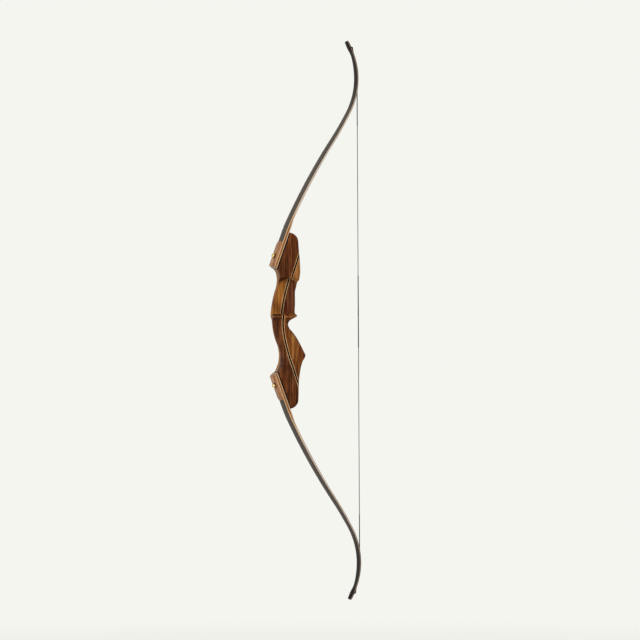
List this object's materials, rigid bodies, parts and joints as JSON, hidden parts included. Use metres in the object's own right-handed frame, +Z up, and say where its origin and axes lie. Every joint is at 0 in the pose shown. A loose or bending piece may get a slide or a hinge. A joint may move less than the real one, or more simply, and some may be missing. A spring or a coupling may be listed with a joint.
{
  "type": "recurve bow",
  "caption": "Takedown recurve bow with a laminated wooden riser, two bolted recurved limbs and a served string, strung and ready to draw.",
  "frame": {"origin": "throat of the grip, on the bow's middle plane", "axes": "+Z up the bow to the upper limb tip, +X towards the archer and the string, -Y on the sight window side where the arrow passes"},
  "size_m": [0.2457, 0.046, 1.5172],
  "materials": {
    "dark_wood": "dark reddish hardwood under satin lacquer, fine lengthwise grain",
    "gold_wood": "golden brown hardwood under satin lacquer, lengthwise grain",
    "stripe_dark": "near-black dyed veneer under satin lacquer",
    "stripe_pale": "pale maple veneer under satin lacquer",
    "brass": "brushed brass",
    "pin_steel": "ground steel",
    "washer_black": "blackened steel",
    "back_fibreglass": "dark grey fibreglass, lengthwise fibres, satin lacquer",
    "belly_fibreglass": "grey-tan fibreglass, lengthwise fibres, satin lacquer",
    "limb_core": "maple core laminations seen at the limb edges",
    "overlay_wood": "brown hardwood overlay under satin lacquer",
    "tip_black": "black tip overlay, satin",
    "string_strand": "waxed dark polyester strands",
    "serving_thread": "tightly wound dark serving thread"
  },
  "bodies": {
    "riser": {"riser_back_right": "gold_wood", "riser_belly_right": "dark_wood", "riser_back_left_upper": "dark_wood", "riser_back_left_lower": "dark_wood", "riser_belly_left_upper": "gold_wood", "riser_belly_left_lower": "gold_wood", "stripe_dark": "stripe_dark", "stripe_pale_back": "stripe_pale", "stripe_pale_belly": "stripe_pale", "upper_insert": "brass", "lower_insert": "brass", "upper_locating_pins": "pin_steel", "lower_locating_pins": "pin_steel", "upper_butt_back_glass": "back_fibreglass", "upper_butt_core": "limb_core", "upper_butt_belly_glass": "belly_fibreglass", "upper_butt_overlay": "overlay_wood", "lower_butt_back_glass": "back_fibreglass", "lower_butt_core": "limb_core", "lower_butt_belly_glass": "belly_fibreglass", "lower_butt_overlay": "overlay_wood"},
    "upper_washer": {"upper_washer": "washer_black"},
    "upper_bolt": {"upper_limb_bolt": "brass"},
    "upper_limb": {"upper_back_glass": "back_fibreglass", "upper_limb_core": "limb_core", "upper_belly_glass": "belly_fibreglass", "upper_tip_overlay": "tip_black", "upper_string_bight": "serving_thread"},
    "upper_string": {"upper_string_fork": "serving_thread", "upper_string_strand": "string_strand", "upper_end_serving": "serving_thread", "upper_centre_serving": "serving_thread"},
    "lower_washer": {"lower_washer": "washer_black"},
    "lower_bolt": {"lower_limb_bolt": "brass"},
    "lower_limb": {"lower_back_glass": "back_fibreglass", "lower_limb_core": "limb_core", "lower_belly_glass": "belly_fibreglass", "lower_tip_overlay": "tip_black", "lower_string_bight": "serving_thread"},
    "lower_string": {"lower_string_fork": "serving_thread", "lower_string_strand": "string_strand", "lower_end_serving": "serving_thread", "lower_centre_serving": "serving_thread"},
    "nocking_point": {"nocking_serving": "serving_thread"}
  },
  "joints": [
    {"name": "upper_bolt_lift", "type": "slide", "parent": "riser", "child": "upper_washer", "axis": [-0.9397, 0, 0.342], "range_m": [0, 0.0175]},
    {"name": "upper_bolt_turn", "type": "hinge", "parent": "upper_washer", "child": "upper_bolt", "pos_m": [-0.02463, 0, 0.18084], "axis": [-0.9397, 0, 0.342], "range_deg": [0, 5045]},
    {"name": "lower_bolt_lift", "type": "slide", "parent": "riser", "child": "lower_washer", "axis": [-0.9397, 0, -0.342], "range_m": [0, 0.0175]},
    {"name": "lower_bolt_turn", "type": "hinge", "parent": "lower_washer", "child": "lower_bolt", "pos_m": [-0.02463, 0, -0.15984], "axis": [-0.9397, 0, -0.342], "range_deg": [0, 5045]},
    {"name": "upper_limb_flex", "type": "hinge", "parent": "riser", "child": "upper_limb", "pos_m": [-0.00021, 0, 0.26115], "axis": [0, 1, 0], "range_deg": [0, 18.56], "stiffness_Nm_per_rad": 110, "springref_deg": -28.65},
    {"name": "lower_limb_flex", "type": "hinge", "parent": "riser", "child": "lower_limb", "pos_m": [-0.00021, 0, -0.24015], "axis": [0, -1, 0], "range_deg": [0, 17.95], "stiffness_Nm_per_rad": 110, "springref_deg": -28.65},
    {"name": "upper_string_swing", "type": "hinge", "parent": "upper_limb", "child": "upper_string", "pos_m": [0.18361, 0, 0.75095], "axis": [0, -1, 0], "range_deg": [0, 45.36]},
    {"name": "lower_string_swing", "type": "hinge", "parent": "lower_limb", "child": "lower_string", "pos_m": [0.18361, 0, -0.72995], "axis": [0, 1, 0], "range_deg": [0, 43.32]},
    {"name": "string_draw", "type": "slide", "parent": "riser", "child": "nocking_point", "axis": [1, 0, 0], "range_m": [0, 0.46798], "deforming": ["nocking_serving"]}
  ],
  "couplings": [
    {"joint": "upper_bolt_turn", "follows": "upper_bolt_lift", "rad_per_m": 5026.5},
    {"joint": "lower_bolt_turn", "follows": "lower_bolt_lift", "rad_per_m": 5026.5},
    {"joint": "lower_limb_flex", "follows": "upper_limb_flex", "ratio": 0.96633},
    {"joint": "upper_string_swing", "follows": "upper_limb_flex", "ratio": 2.4429},
    {"joint": "lower_string_swing", "follows": "upper_limb_flex", "ratio": 2.3332},
    {"joint": "string_draw", "follows": "upper_limb_flex", "m_per_rad": 1.4438}
  ]
}
